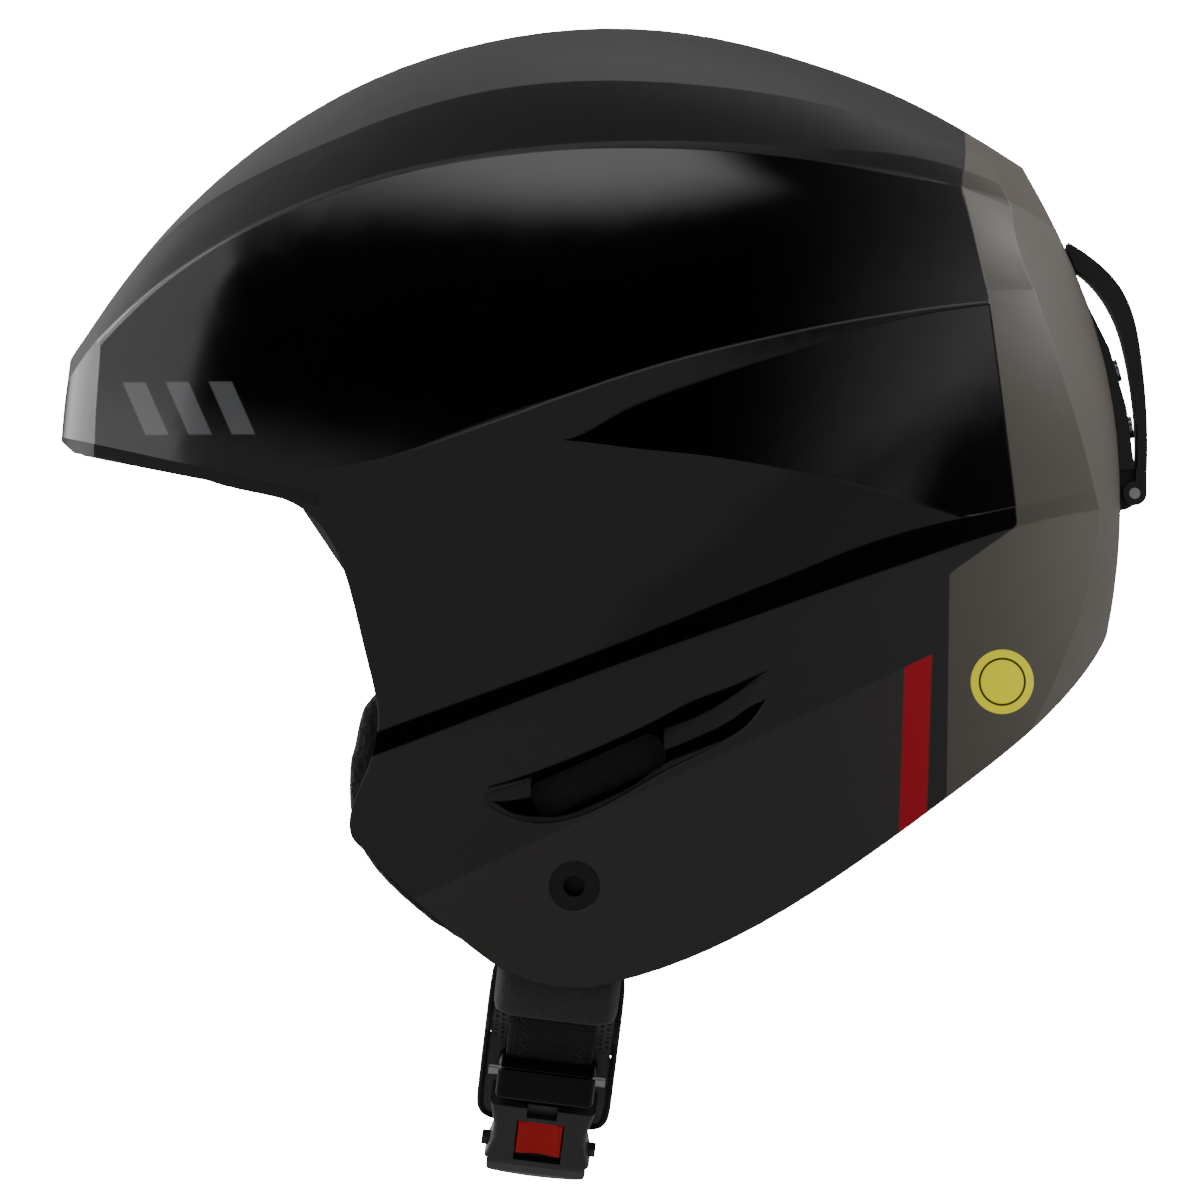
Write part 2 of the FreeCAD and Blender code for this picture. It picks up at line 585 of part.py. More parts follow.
collar = new_body("buckle_collar")
block = new_sketch(collar, "XY_Plane", "Block")
rectangle(block, "Sizes.collar_wide", "Sizes.collar_long", 0, 0)
pad(collar, block, "Sizes.collar_deep", both=True)
soften(collar, 1.8, lambda e: abs(e.CenterOfMass.z) > 4 or abs(e.CenterOfMass.x) > 12.9)
mouth = new_sketch(collar, "XZ_Plane", "Mouth", -8)
rectangle(mouth, "Sizes.strap_wide + 0.6", "3.2", 0, -2.2)
pocket(collar, mouth, "8.5", back=True)
bore = new_sketch(collar, "YZ_Plane", "BarBore")
circle(bore, "Sizes.bar_dia", 3.2, 2.6)
pocket(collar, bore, "40", both=True)
collar_frame = buckle_frame.multiply(Placement(Vector(0, 17.9, -1.2), Rotation(Vector(1, 0, 0), -12)))
collar.Placement = collar_frame

bar = new_body("ladder_bar")
rod = new_sketch(bar, "YZ_Plane", "Rod")
circle(rod, "Sizes.bar_dia")
pad(bar, rod, "Sizes.bar_long", both=True)
bar.Placement = collar_frame.multiply(Placement(Vector(0, 3.2, 2.6), Rotation()))

button = new_body("release_button")
key = new_sketch(button, "XY_Plane", "Key", -0.1)
rectangle(key, "Sizes.button_wide", "Sizes.button_long", 0, -1.1)
pad(button, key, "Sizes.button_deep")
soften(button, 0.7, lambda e: e.CenterOfMass.z > 3)
saddle = new_sketch(button, "XZ_Plane", "Saddle")
circle(saddle, "26", 0, 15.2)
pocket(button, saddle, "40", both=True)
button.Placement = buckle_frame.multiply(Placement(Vector(0, 0, 1.5), Rotation()))

tongue = new_body("buckle_tongue")
blade = new_sketch(tongue, "XY_Plane", "Blade", -2 - size("tongue_thick") / 2)
rectangle(blade, "Sizes.tongue_wide", "Sizes.tongue_long", 0, -11.7 + size("tongue_long") / 2)
pad(tongue, blade, "Sizes.tongue_thick")
cap = new_sketch(tongue, "YZ_Plane", "Cap")
outline(cap, [(-11.6, 3.6), (-14, 3.4), (-18.4, 2.2), (-23.8, -1.2), (-23.8, -3.4), (-20, -3.6), (-16.4, -4.4),
              (-11.6, -4.2)])
pad(tongue, cap, "26.4", both=True)
around = new_sketch(tongue, "XY_Plane", "RoundedEnd", 10)
outline(around, [(-30, 10), (30, 10), (30, -40), (-30, -40)])
turn = [math.radians(v) for v in range(0, 181, 12)]
outline(around, [(14, 8)] + [(13.2 * math.cos(t), -16.4 - 7.3 * math.sin(t)) for t in turn] + [(-14, 8)])
pocket(tongue, around, "30")
tongue.Placement = buckle_frame

chin = mirrored(ribbon(6, 89, -half, half))
flat = Part.makeBox(size("strap_wide"), 2 * bend_y, 2 * half, Vector(-size("strap_wide") / 2, -bend_y, -drop - bend - half))
chin = chin.fuse(flat)
chin = chin.fuse(mirrored(ribbon(88.9, 90, -half, half))).fuse(ribbon(74.2, 90, -half, half)).removeSplitter()
solid_node("webbing_chin", chin, strap_frame)

spring = new_body("button_spring")
coil = new_sketch(spring, "XY_Plane", "Foot", -0.7)
circle(coil, "2.1", 0, 3.65)
circle(coil, "1.5", 0, 3.65)
pad(spring, coil, "1.9")
spring.Placement = buckle_frame

# ---------------------------------------------------------------- goggle clip on the back
base = side_prism([("line", CLIP_BASE + CLIP_BASE[:1])], -wide / 2, wide / 2)
base = base.cut(Part.makeBox(40, 60, 12, Vector(120, -30, 33.5)))
lug = side_prism([("line", [(136, 33.6), (144.6, 35.2), (147.2, 36.6), (149, 39.5), (147.4, 42.4), (146.2, 48),
                            (136, 48), (136, 33.6)])], -6, 6)
base = base.fuse(lug).cut(whole).cut(pivot_bar(size("clip_pin")))
for place in SCREWS:
    base = base.cut(screw_shape(place))
base = max(base.Solids, key=lambda piece: piece.Volume)
solid_node("clip_base", base.removeSplitter())
for hand, place in zip(("upper", "lower"), SCREWS):
    screw = new_body(f"clip_screw_{hand}")
    shank = new_sketch(screw, "XY_Plane", "Shank")
    circle(shank, "3")
    pad(screw, shank, "Sizes.screw_long", back=True)
    cap = new_sketch(screw, "XY_Plane", "Cap")
    circle(cap, "Sizes.screw_dia")
    pad(screw, cap, "1.4")
    drive_hole = new_sketch(screw, "XY_Plane", "Drive", 1.4)
    circle(drive_hole, "2.4")
    pocket(screw, drive_hole, "0.9")
    screw.Placement = place

pin = new_body("clip_pin")
rod = new_sketch(pin, "XZ_Plane", "Rod")
circle(rod, "Sizes.clip_pin")
pad(pin, rod, "Sizes.clip_wide - 0.6", both=True)
pin.Placement = Placement(PIVOT, Rotation())

arm = side_prism([("curve", ARM_OUT), ("line", [ARM_OUT[-1], ARM_IN[0]]), ("curve", ARM_IN),
                  ("line", [ARM_IN[-1], ARM_OUT[0]])], -wide / 2, wide / 2)
for y in (-wide / 2, 6.4):
    arm = arm.fuse(Part.makeCylinder(3.2, wide / 2 - 6.4, Vector(PIVOT.x, y, PIVOT.z), Vector(0, 1, 0)))
    link = Part.makeBox(2.9, wide / 2 - 6.4, 6.5, Vector(146.9, y, 39.6))
    arm = arm.fuse(link)
arm = arm.cut(pivot_bar(size("clip_bore"))).cut(form(-0.5))
arm = max(arm.Solids, key=lambda piece: piece.Volume)
solid_node("clip_arm", arm.removeSplitter())

doc.recompute()

# ---------------------------------------------------------------- check and write
for node in NODES:
    if "Invalid" in node.State or "Error" in node.State:
        raise RuntimeError(f"{node.Label} is not solved: {node.State}")
    if node.Shape.isNull() or not node.Shape.isValid():
        raise RuntimeError(f"{node.Label} has no valid shape")
    node.Shape.exportStep(f"parts/{node.Label}.step")
    box = node.Shape.BoundBox
    print(node.Label, len(node.Shape.Solids), round(node.Shape.Volume), [round(v, 1) for v in (
        box.XMin, box.XMax, box.YMin, box.YMax, box.ZMin, box.ZMax)])
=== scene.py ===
import bpy
import bmesh
import math
from mathutils import Matrix, Vector


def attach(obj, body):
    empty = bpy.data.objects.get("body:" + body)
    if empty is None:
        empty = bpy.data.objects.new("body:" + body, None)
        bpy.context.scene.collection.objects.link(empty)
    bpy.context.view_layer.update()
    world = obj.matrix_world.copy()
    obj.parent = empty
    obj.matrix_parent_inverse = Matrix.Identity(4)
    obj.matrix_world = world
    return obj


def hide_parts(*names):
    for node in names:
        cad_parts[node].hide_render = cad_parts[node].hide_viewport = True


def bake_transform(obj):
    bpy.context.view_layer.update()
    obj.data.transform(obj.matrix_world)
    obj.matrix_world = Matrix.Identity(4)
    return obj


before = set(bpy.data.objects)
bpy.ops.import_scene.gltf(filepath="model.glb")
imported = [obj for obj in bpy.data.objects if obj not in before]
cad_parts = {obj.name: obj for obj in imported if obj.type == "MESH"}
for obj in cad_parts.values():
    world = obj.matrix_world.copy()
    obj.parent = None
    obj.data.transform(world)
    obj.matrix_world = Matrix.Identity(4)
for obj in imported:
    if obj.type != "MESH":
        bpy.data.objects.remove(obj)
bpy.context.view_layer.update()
MM = 0.001


# ---------------------------------------------------------------- materials
def srgb(code, alpha=1.0):
    """sRGB hex colour as linear RGBA."""
    values = [int(code[i:i + 2], 16) / 255 for i in (0, 2, 4)]
    return [v / 12.92 if v <= 0.04045 else ((v + 0.055) / 1.055) ** 2.4 for v in values] + [alpha]


def add(tree, kind, sockets=None, **settings):
    """Adds a node with its settings; each socket takes a value or a link from another node's output."""
    node = tree.nodes.new("ShaderNode" + kind)
    for key, value in settings.items():
        setattr(node, key, value)
    for key, value in (sockets or {}).items():
        if isinstance(value, bpy.types.NodeSocket):
            tree.links.new(value, node.inputs[key])
        else:
            node.inputs[key].default_value = value
    return node


def maths(tree, operation, a, b=0.0, c=0.0):
    return add(tree, "Math", {0: a, 1: b, 2: c}, operation=operation).outputs[0]


def start(name):
    """New material; returns it with its tree, its shader node and the object coordinates."""
    material = bpy.data.materials.new(name)
    material.use_nodes = True
    tree = material.node_tree
    tree.nodes.clear()
    shader = add(tree, "BsdfPrincipled")
    out = add(tree, "OutputMaterial", {"Surface": shader.outputs[0]})
    place = add(tree, "TexCoord").outputs["Object"]
    return material, tree, shader, place


def mix(tree, factor, a, b):
    """Blend of two colours."""
    node = add(tree, "Mix", data_type="RGBA")
    for socket, value in ((node.inputs[0], factor), (node.inputs[6], a), (node.inputs[7], b)):
        if isinstance(value, bpy.types.NodeSocket):
            tree.links.new(value, socket)
        else:
            socket.default_value = value
    return node.outputs[2]


def blend_number(tree, factor, a, b):
    return add(tree, "Mix", {0: factor, 2: a, 3: b}, data_type="FLOAT").outputs[0]


def grain(tree, shader, place, size_mm, depth_mm, strength=1.0, detail=2.0, kind="Noise"):
    """Fine surface relief of the given grain size."""
    scale = 1000 / size_mm
    if kind == "Noise":
        height = add(tree, "TexNoise", {"Vector": place, "Scale": scale, "Detail": detail}).outputs[0]
    else:
        height = add(tree, "TexVoronoi", {"Vector": place, "Scale": scale}).outputs["Distance"]
    bump = add(tree, "Bump", {"Height": height, "Distance": depth_mm * MM, "Strength": strength})
    tree.links.new(bump.outputs[0], shader.inputs["Normal"])
    return bump


def moulded(name, code, roughness, grain_mm=0.5, relief=0.03, coat=0.0, spread=0.06):
    """Injection-moulded plastic: an even body colour, a fine spark-eroded grain and slight gloss changes."""
    material, tree, shader, place = start(name)
    patch = add(tree, "TexNoise", {"Vector": place, "Scale": 60.0, "Detail": 3.0}).outputs[0]
    base = srgb(code)
    lighter = [min(1, v * 1.35 + 0.004) for v in base[:3]] + [1]
    tree.links.new(mix(tree, patch, base, lighter), shader.inputs["Base Color"])
    rough = add(tree, "MapRange", {0: patch, 3: roughness - spread, 4: roughness + spread}).outputs[0]
    tree.links.new(rough, shader.inputs["Roughness"])
    shader.inputs["IOR"].default_value = 1.5
    shader.inputs["Coat Weight"].default_value = coat
    grain(tree, shader, place, grain_mm, relief)
    return material


def plated(name, code, roughness):
    """Plated steel: bright, with fine drawn lines along X and darker worn spots."""
    material, tree, shader, place = start(name)
    lines = add(tree, "Mapping", {"Vector": place, "Scale": (300, 4000, 4000)}).outputs[0]
    streak = add(tree, "TexNoise", {"Vector": lines, "Scale": 1.0, "Detail": 2.0}).outputs[0]
    base = srgb(code)
    dark = [v * 0.6 for v in base[:3]] + [1]
    tree.links.new(mix(tree, streak, dark, base), shader.inputs["Base Color"])
    shader.inputs["Metallic"].default_value = 1.0
    rough = add(tree, "MapRange", {0: streak, 3: roughness - 0.08, 4: roughness + 0.1}).outputs[0]
    tree.links.new(rough, shader.inputs["Roughness"])
    bump = add(tree, "Bump", {"Height": streak, "Distance": 0.02 * MM, "Strength": 0.6})
    tree.links.new(bump.outputs[0], shader.inputs["Normal"])
    return material


def knitted(name, code, light_code, loop_mm, relief_mm, sheen=0.3):
    """Brushed knit bonded to foam: small loops, soft sheen and uneven dye."""
    material, tree, shader, place = start(name)
    cells = add(tree, "TexVoronoi", {"Vector": place, "Scale": 1000 / loop_mm, "Randomness": 0.7})
    loops = cells.outputs["Distance"]
    fuzz = add(tree, "TexNoise", {"Vector": place, "Scale": 1400.0, "Detail": 3.0}).outputs[0]
    dye = add(tree, "TexNoise", {"Vector": place, "Scale": 45.0, "Detail": 2.0}).outputs[0]
    tone = maths(tree, "MULTIPLY_ADD", loops, 0.7, maths(tree, "MULTIPLY", dye, 0.4))
    tree.links.new(mix(tree, tone, srgb(code), srgb(light_code)), shader.inputs["Base Color"])
    shader.inputs["Roughness"].default_value = 0.95
    shader.inputs["Sheen Weight"].default_value = sheen
    shader.inputs["Sheen Roughness"].default_value = 0.5
    height = maths(tree, "MULTIPLY_ADD", fuzz, 0.35, loops)
    bump = add(tree, "Bump", {"Height": height, "Distance": relief_mm * MM, "Strength": 0.9})
    tree.links.new(bump.outputs[0], shader.inputs["Normal"])
    return material


# ---------------------------------------------------------------- painted shell
CROWN_EDGE = [(-150, 56), (-128, 83), (-105, 101.2), (-80, 113.3), (-52, 122.9), (-20, 128.6), (15, 130.1),
              (50, 128), (82, 123), (106, 118.4), (128, 108.6), (150, 95)]
UNDER_LEDGE = [(-150, -64.2), (-51, -28), (-1, -9.1), (40, 5.5), (78, 18.7), (113, 30), (150, 37.8)]
LEDGE_EDGE = [(-150, -60), (-54, -23.2), (-1, -3.8), (50, 16.5), (78, 27.3), (112, 35.4), (150, 43)]
CREASE = [(-150, 40), (-60, 47), (-24, 58), (-9.5, 63.3), (18.8, 72.6), (53.1, 81), (75.5, 85.3), (102, 89.1),
          (150, 92)]
SCOOP_TIP = -7.3
SCOOP_TOP = [(-150, 52.7), (SCOOP_TIP, 52.7), (11.9, 61.9), (33.1, 69.7), (53, 76.1), (75.7, 83.2),
             (102, 88.4), (150, 92)]
SCOOP_FOOT = [(-150, 52.7), (SCOOP_TIP, 52.7), (11.9, 50.5), (33.1, 48.2), (61.5, 42.8), (89.8, 35),
              (109.7, 28.6), (150, 20)]
UPRIGHT_FROM = 25
VENT_BACK, VENT_FRONT = 46.5, -26.5
FLOOR_BACK, FLOOR_FRONT = 19.5, -15.4
VENT_TOP = [(-60, -45), (VENT_FRONT, -38.1), (-7.2, -31.5), (7.3, -25.4), (17, -20.8), (26.6, -15.8),
            (36.3, -12.1), (VENT_BACK, -7.7), (70, 2)]
VENT_FOOT = [(-60, -40), (-25.5, -42.3), (-20.5, -45.1), (-13.2, -46.2), (-7.2, -45.9), (2.5, -42.3),
             (12.1, -37.5), (18.8, -32.7), (29, -28.4), (36.3, -25.4), (42.3, -20.8), (VENT_BACK, -14.9),
             (70, 10)]
VENT_FLOOR_TOP = [(-60, -45), (VENT_FRONT, -38.5), (FLOOR_FRONT, -35.7), (18.2, -23.6), (29, -19.4),
                  (36.3, -15.2), (VENT_BACK, -7.9), (70, 2)]
VENT_FLOOR_FOOT = [(-60, -40), (-25.5, -42.1), (FLOOR_FRONT, -40.9), (18.8, -29), (29, -24.8), (36.3, -21.2),
                   (42.3, -17), (VENT_BACK, -14.9), (70, 10)]
REAR_EDGE = [(-60, 94), (-41, 94.1), (17.8, 94.8), (30.5, 113.1), (92, 105), (119.9, 98.6), (137.4, 100.4),
             (160, 101)]


def curve_value(tree, along, points, curved):
    """Reads a drawn line: along (metres) in, the line's other coordinate (metres) out."""
    share = add(tree, "MapRange", {0: along, 1: -0.16, 2: 0.16}).outputs[0]
    node = add(tree, "FloatCurve", {"Value": share})
    line = node.mapping.curves[0]
    for i, (x, y) in enumerate(points):
        spot = (min(max((x + 160) / 320, 0), 1), (y + 160) / 320)
        if i < 2:
            line.points[i].location = spot
        else:
            line.points.new(*spot)
    for point in line.points:
        point.handle_type = "AUTO" if curved else "VECTOR"
    node.mapping.update()
    return add(tree, "MapRange", {0: node.outputs[0], 3: -0.16, 4: 0.16}).outputs[0]


def beyond(tree, value, limit, soft_mm=0.25):
    """1 where value is more than limit, with a narrow soft edge, as masked paint has."""
    gap = maths(tree, "SUBTRACT", value, limit)
    return add(tree, "MapRange", {0: gap, 1: -soft_mm * MM, 2: soft_mm * MM}).outputs[0]


def straight(tree, along, a, b):
    """Height of the straight line through a and b, read at along."""
    slope = (b[1] - a[1]) / (b[0] - a[0])
    return maths(tree, "MULTIPLY_ADD", along, slope, (a[1] - slope * a[0]) * MM)


def both(tree, a, b):
    return maths(tree, "MULTIPLY", a, b)


def between(tree, along, value, low, high):
    """1 between two drawn lines."""
    inside = beyond(tree, value, curve_value(tree, along, low, True))
    above = beyond(tree, value, curve_value(tree, along, high, True))
    return both(tree, inside, maths(tree, "SUBTRACT", 1.0, above))


def shell_paint():
    """Painted ABS shell: matte grey crown, gloss black sides, satin lower panel, taupe and red areas."""
    material, tree, shader, place = start("painted_abs_masked_and_lacquered")
    split = add(tree, "SeparateXYZ", {0: place}).outputs
    x, y, z = split[0], split[1], split[2]
    flip = lambda mask: maths(tree, "SUBTRACT", 1.0, mask)
    crown = beyond(tree, z, curve_value(tree, x, CROWN_EDGE, True))
    side = beyond(tree, z, curve_value(tree, x, LEDGE_EDGE, True))
    rear = beyond(tree, x, curve_value(tree, z, REAR_EDGE, False))
    low = flip(beyond(tree, z, straight(tree, x, (-46.4, -67.8), (90.1, -3.5))))
    stripe_left = straight(tree, z, (-51.8, 81.4), (-7.4, 82.8))
    stripe_right = straight(tree, z, (-46.7, 88.7), (-3.5, 90.1))
    red = both(tree, low, both(tree, beyond(tree, x, stripe_left), flip(beyond(tree, x, stripe_right))))
    taupe_low = both(tree, low, flip(beyond(tree, x, stripe_left)))

    ledge = both(tree, flip(side), beyond(tree, z, curve_value(tree, x, UNDER_LEDGE, True)))
    # Painted shade: the sloping walls of the side vent and the downward-facing ledge band are painted
    # near-black and kept dull, standing in for the shade there; the vent's level floor keeps the panel paint.
    walls = between(tree, x, z, VENT_FOOT, VENT_TOP)
    floor = between(tree, x, z, VENT_FLOOR_FOOT, VENT_FLOOR_TOP)
    ends = maths(tree, "MAXIMUM", flip(beyond(tree, x, FLOOR_FRONT * MM)), beyond(tree, x, FLOOR_BACK * MM))
    walls = both(tree, walls, flip(both(tree, floor, ends)))
    walls = both(tree, walls, beyond(tree, x, VENT_FRONT * MM))
    walls = both(tree, walls, flip(beyond(tree, x, VENT_BACK * MM)))
    painted_shade = both(tree, maths(tree, "MAXIMUM", ledge, walls), flip(rear))
    color = mix(tree, side, srgb("191a1a"), srgb("020202"))
    # Painted shade: near-black colour where the ledge and the vent walls lie in shadow.
    color = mix(tree, painted_shade, color, srgb("010101"))
    # Painted highlight: a thin light grey line along the crease stands in for the light caught on its edge.
    painted_crease_highlight = maths(tree, "ABSOLUTE", maths(tree, "SUBTRACT", z, curve_value(tree, x, CREASE, True)))
    painted_crease_highlight = both(tree, flip(beyond(tree, painted_crease_highlight, 0.0003, 0.12)), beyond(tree, x, -0.035, 20))
    color = mix(tree, painted_crease_highlight, color, srgb("4a4b4b"))
    color = mix(tree, taupe_low, color, srgb("2c2927"))
    color = mix(tree, crown, color, srgb("151617"))
    color = mix(tree, red, color, srgb("b81a29"))
    color = mix(tree, rear, color, srgb("565049"))
    rough = blend_number(tree, side, 0.34, 0.1)
    rough = blend_number(tree, painted_shade, rough, 0.5)
    rough = blend_number(tree, taupe_low, rough, 0.42)
    rough = blend_number(tree, crown, rough, 0.55)
    rough = blend_number(tree, red, rough, 0.4)
    rough = blend_number(tree, rear, rough, 0.46)

    # Three plain slanted bars on each temple.
    slant = maths(tree, "MULTIPLY_ADD", z, 0.45, x)
    step = maths(tree, "PINGPONG", maths(tree, "ADD", slant, 0.0958), 0.0058)
    bars = beyond(tree, step, 0.0027)
    for value, low_mm, high_mm in ((slant, -95.8, -60.9), (z, 54.5, 68.5)):
        bars = both(tree, bars, beyond(tree, value, low_mm * MM))
        bars = both(tree, bars, flip(beyond(tree, value, high_mm * MM)))
    color = mix(tree, bars, color, srgb("5c5d5f"))

    # Round yellow sticker with a plain dark ring, on the wearer's left only.
    from_x = maths(tree, "SUBTRACT", x, 0.109)
    from_z = maths(tree, "SUBTRACT", z, -0.0108)
    radius = maths(tree, "SQRT", maths(tree, "ADD", both(tree, from_x, from_x), both(tree, from_z, from_z)))
    left = flip(beyond(tree, y, 0.0))
    disc = both(tree, left, flip(beyond(tree, radius, 0.0085, 0.1)))
    ring = both(tree, beyond(tree, radius, 0.0058, 0.1), flip(beyond(tree, radius, 0.0064, 0.1)))
    color = mix(tree, disc, color, mix(tree, ring, srgb("fbf416"), srgb("3a3a12")))
    rough = blend_number(tree, disc, rough, 0.35)

    # The painted shade areas also lose most of their reflection.
    shine = blend_number(tree, painted_shade, 0.5, 0.04)
    shine = blend_number(tree, maths(tree, "MAXIMUM", red, disc), shine, 0.15)
    shine = blend_number(tree, crown, shine, 0.22)
    tree.links.new(shine, shader.inputs["Specular IOR Level"])
    # Painted glow: the sticker's yellow, though no lamp, gives off a little light of its own; its ring does
    # not.
    tree.links.new(mix(tree, disc, srgb("000000"), mix(tree, ring, srgb("f0ea10"), srgb("000000"))),
                   shader.inputs["Emission Color"])
    shader.inputs["Emission Strength"].default_value = 0.16
    wear = add(tree, "TexNoise", {"Vector": place, "Scale": 90.0, "Detail": 4.0}).outputs[0]
    speck = add(tree, "TexNoise", {"Vector": place, "Scale": 2600.0, "Detail": 1.0}).outputs[0]
    rough = maths(tree, "ADD", rough, maths(tree, "MULTIPLY", maths(tree, "SUBTRACT", wear, 0.5), 0.06))
    tree.links.new(color, shader.inputs["Base Color"])
    tree.links.new(rough, shader.inputs["Roughness"])
    shader.inputs["IOR"].default_value = 1.5
    edge = add(tree, "Bevel", {"Radius": 0.0007}, samples=4)
    # The brow's lower rim is chamfered 3.5 mm high.
    rise = maths(tree, "SUBTRACT", z, straight(tree, x, (-137.7, 50), (-86, 38.6)))
    chamfer = add(tree, "MapRange", {0: rise, 1: 0.0, 2: 0.0036}).outputs[0]
    in_front = add(tree, "MapRange", {0: x, 1: -0.088, 2: -0.07, 3: 1.0, 4: 0.0}).outputs[0]
    slope = both(tree, maths(tree, "SUBTRACT", chamfer, 1.0), in_front)
    # Below the crease the panel stands upright, and a scoop is pressed into it that deepens to the rear.
    crease = curve_value(tree, x, CREASE, True)
    panel = maths(tree, "SUBTRACT", maths(tree, "MINIMUM", z, crease), UPRIGHT_FROM * MM)
    upright = maths(tree, "MAXIMUM", panel, 0.0)
    swell = maths(tree, "MULTIPLY", both(tree, upright, upright), 1.4)
    foot = curve_value(tree, x, SCOOP_FOOT, True)
    scoop = beyond(tree, z, foot, 0.5)
    scoop = both(tree, scoop, flip(beyond(tree, z, curve_value(tree, x, SCOOP_TOP, True))))
    scoop = both(tree, scoop, beyond(tree, x, SCOOP_TIP * MM))
    above_foot = maths(tree, "MAXIMUM", maths(tree, "SUBTRACT", z, foot), 0.0)
    relief = maths(tree, "SUBTRACT", swell, both(tree, scoop, maths(tree, "MULTIPLY", above_foot, 0.24)))
    relief = both(tree, relief, both(tree, flip(rear), side))
    normal = edge.outputs[0]
    for height, depth, strength in ((relief, 1.0, 1.0), (slope, 2.2 * MM, 1.0), (speck, 0.012 * MM, 0.35)):
        sockets = {"Height": height, "Distance": depth, "Strength": strength, "Normal": normal}
        normal = add(tree, "Bump", sockets).outputs[0]
    tree.links.new(normal, shader.inputs["Normal"])
    return material


def bead_foam():
    """Moulded bead foam: fused grains a few millimetres across, dull black."""
    material, tree, shader, place = start("expanded_polystyrene_moulded")
    grains = add(tree, "TexVoronoi", {"Vector": place, "Scale": 320.0}, feature="DISTANCE_TO_EDGE")
    cells = grains.outputs["Distance"]
    tone = add(tree, "MapRange", {0: cells, 2: 0.25}).outputs[0]
    tree.links.new(mix(tree, tone, srgb("0a0a0a"), srgb("1e1e1f")), shader.inputs["Base Color"])
    shader.inputs["Roughness"].default_value = 0.72
    bump = add(tree, "Bump", {"Height": tone, "Distance": 0.25 * MM, "Strength": 0.8})
    tree.links.new(bump.outputs[0], shader.inputs["Normal"])
    return material


def air_mesh(name):
    """Smooth neoprene pad with a column of punched spacer mesh along each side of the webbing."""
    material, tree, shader, place = start(name)
    split = add(tree, "SeparateXYZ", {0: add(tree, "UVMap", uv_map="strap").outputs[0]}).outputs
    across, along = maths(tree, "ABSOLUTE", split[0]), split[1]
    zone = beyond(tree, across, 0.0118, 0.2)
    for value, limit in ((across, 0.0158), (along, 0.0245)):
        zone = both(tree, zone, maths(tree, "SUBTRACT", 1.0, beyond(tree, value, limit, 0.2)))
    pitch = 0.00175
    column = maths(tree, "PINGPONG", maths(tree, "SUBTRACT", across, 0.0129), pitch / 2)
    shift = maths(tree, "MULTIPLY", maths(tree, "ROUND", maths(tree, "DIVIDE", maths(
        tree, "SUBTRACT", across, 0.0129), pitch)), pitch / 2)
    row = maths(tree, "PINGPONG", maths(tree, "ADD", along, shift), pitch / 2)
    radius = maths(tree, "SQRT", maths(tree, "ADD", both(tree, column, column), both(tree, row, row)))
    hole = both(tree, zone, maths(tree, "SUBTRACT", 1.0, beyond(tree, radius, 0.00055, 0.12)))
    tone = add(tree, "TexNoise", {"Vector": place, "Scale": 900.0, "Detail": 3.0}).outputs[0]
    color = mix(tree, tone, srgb("29292c"), srgb("3b3b3f"))
    color = mix(tree, zone, color, srgb("434347"))
    color = mix(tree, hole, color, srgb("040404"))
    tree.links.new(color, shader.inputs["Base Color"])
    shader.inputs["Roughness"].default_value = 0.5
    shader.inputs["Sheen Weight"].default_value = 0.12
    height = maths(tree, "MULTIPLY_ADD", tone, 0.08, maths(tree, "SUBTRACT", 1.0, hole))
    bump = add(tree, "Bump", {"Height": height, "Distance": 0.4 * MM, "Strength": 0.9})
    tree.links.new(bump.outputs[0], shader.inputs["Normal"])
    return material


def woven(name):
    """Polyester webbing: ribs across and a zigzag of needle holes along each side."""
    material, tree, shader, place = start(name)
    uv = add(tree, "UVMap", uv_map="strap").outputs[0]
    split = add(tree, "SeparateXYZ", {0: uv}).outputs
    across, along = split[0], split[1]
    ribs = maths(tree, "PINGPONG", along, 0.0007)
    rib = maths(tree, "DIVIDE", ribs, 0.0007)
    warp = maths(tree, "DIVIDE", maths(tree, "PINGPONG", across, 0.0005), 0.0005)
    from_edge = maths(tree, "ABSOLUTE", across)
    wave = maths(tree, "MULTIPLY", maths(tree, "SUBTRACT", maths(tree, "DIVIDE", maths(
        tree, "PINGPONG", along, 0.0016), 0.0016), 0.5), 0.0022)
    column = maths(tree, "ABSOLUTE", maths(tree, "SUBTRACT", maths(tree, "ADD", from_edge, wave), 0.0078))
    zigzag = add(tree, "MapRange", {0: column, 1: 0.0003, 2: 0.0007, 3: 1.0, 4: 0.0}).outputs[0]
    tone = maths(tree, "MULTIPLY", rib, warp)
    color = mix(tree, tone, srgb("040405"), srgb("121213"))
    color = mix(tree, zigzag, color, srgb("060606"))
    tree.links.new(color, shader.inputs["Base Color"])
    shader.inputs["Roughness"].default_value = 0.8
    shader.inputs["Sheen Weight"].default_value = 0.15
    height = maths(tree, "SUBTRACT", tone, maths(tree, "MULTIPLY", zigzag, 1.6))
    bump = add(tree, "Bump", {"Height": height, "Distance": 0.25 * MM, "Strength": 0.9})
    tree.links.new(bump.outputs[0], shader.inputs["Normal"])
    return material


